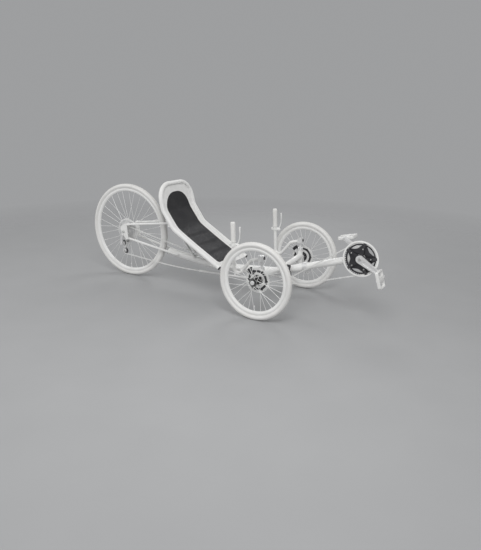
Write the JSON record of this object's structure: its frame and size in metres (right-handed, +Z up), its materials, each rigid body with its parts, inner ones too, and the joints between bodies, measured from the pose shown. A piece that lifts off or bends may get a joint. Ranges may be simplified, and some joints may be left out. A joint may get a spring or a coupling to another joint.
{
  "type": "recumbent trike",
  "caption": "Tadpole recumbent trike with a reclined sling seat, side steering grips, steered front wheels on a cross boom, front cranks and a chain to the large rear wheel.",
  "frame": {"origin": "on the ground under the middle of the bounding box", "axes": "+X forward towards the cranks, +Y to the rider's left, +Z up"},
  "size_m": [2.3406, 0.8406, 0.752],
  "materials": {
    "alloy": "satin silver",
    "chain_steel": "nickel plated",
    "frame_paint": "gloss white paint",
    "grip_rubber": "white soft rubber",
    "pedal_plastic": "white moulding",
    "rim_paint": "gloss white paint on aluminium",
    "sling_fabric": "open charcoal mesh with white binding",
    "steel": "fine brushed",
    "tube_plastic": "white tube",
    "tyre_rubber": "white rubber"
  },
  "bodies": {
    "frame": {"main_tube": "frame_paint", "front_boom": "frame_paint", "boom_clamp": "alloy", "cross_boom": "frame_paint", "dropouts": "frame_paint", "chainstays": "frame_paint", "upper_stays": "frame_paint", "seat_struts": "frame_paint", "rear_axle": "alloy", "seat_rails": "frame_paint", "seat_crossbars": "frame_paint", "seat_bracket": "frame_paint", "seat_sling": "sling_fabric", "chain": "chain_steel", "chain_tubes": "tube_plastic", "drive_idler": "pedal_plastic", "idler_bracket": "alloy", "rear_derailleur": "alloy", "derailleur_pulleys": "pedal_plastic"},
    "right_steering": {"right_knuckle": "alloy", "right_handlebar": "frame_paint", "right_grip": "grip_rubber", "right_brake_lever": "alloy", "right_brake_caliper": "alloy"},
    "right_wheel": {"right_front_tyre": "tyre_rubber", "right_front_rim": "rim_paint", "right_front_hub": "alloy", "right_brake_rotor": "steel"},
    "left_steering": {"left_knuckle": "alloy", "left_handlebar": "frame_paint", "left_grip": "grip_rubber", "left_brake_lever": "alloy", "left_brake_caliper": "alloy"},
    "left_wheel": {"left_front_tyre": "tyre_rubber", "left_front_rim": "rim_paint", "left_front_hub": "alloy", "left_brake_rotor": "steel"},
    "track_rod": {"tie_rod": "alloy"},
    "rear_wheel": {"rear_tyre": "tyre_rubber", "rear_rim": "rim_paint", "rear_hub": "alloy", "cassette": "steel"},
    "crankset": {"chainring": "steel", "chain_guard": "pedal_plastic", "crank_spindle": "alloy", "right_crank": "alloy", "left_crank": "alloy"},
    "right_pedal_body": {"right_pedal": "pedal_plastic"},
    "left_pedal_body": {"left_pedal": "pedal_plastic"}
  },
  "joints": [
    {"name": "right_steering_turn", "type": "hinge", "parent": "frame", "child": "right_steering", "pos_m": [0.45895, -0.296, 0.25], "axis": [0, 0, 1], "range_deg": [-28, 28]},
    {"name": "left_steering_turn", "type": "hinge", "parent": "frame", "child": "left_steering", "pos_m": [0.45895, 0.296, 0.25], "axis": [0, 0, 1], "range_deg": [-28, 28]},
    {"name": "tie_rod_pivot", "type": "hinge", "parent": "right_steering", "child": "track_rod", "pos_m": [0.38395, -0.296, 0.173], "axis": [0, 0, 1], "range_deg": [-28, 28]},
    {"name": "right_wheel_spin", "type": "hinge", "parent": "right_steering", "child": "right_wheel", "pos_m": [0.45895, -0.38, 0.243], "axis": [0, 1, 0], "continuous": true},
    {"name": "left_wheel_spin", "type": "hinge", "parent": "left_steering", "child": "left_wheel", "pos_m": [0.45895, 0.38, 0.243], "axis": [0, 1, 0], "continuous": true},
    {"name": "rear_wheel_spin", "type": "hinge", "parent": "frame", "child": "rear_wheel", "pos_m": [-0.82105, 0, 0.35], "axis": [0, 1, 0], "continuous": true},
    {"name": "crank_spin", "type": "hinge", "parent": "frame", "child": "crankset", "pos_m": [0.99795, 0, 0.386], "axis": [0, 1, 0], "continuous": true},
    {"name": "right_pedal_spin", "type": "hinge", "parent": "crankset", "child": "right_pedal_body", "pos_m": [1.14518, -0.128, 0.301], "axis": [0, 1, 0], "continuous": true},
    {"name": "left_pedal_spin", "type": "hinge", "parent": "crankset", "child": "left_pedal_body", "pos_m": [0.85073, 0.128, 0.471], "axis": [0, 1, 0], "continuous": true}
  ],
  "couplings": [
    {"joint": "left_steering_turn", "follows": "right_steering_turn", "ratio": 1},
    {"joint": "tie_rod_pivot", "follows": "right_steering_turn", "ratio": -1}
  ]
}
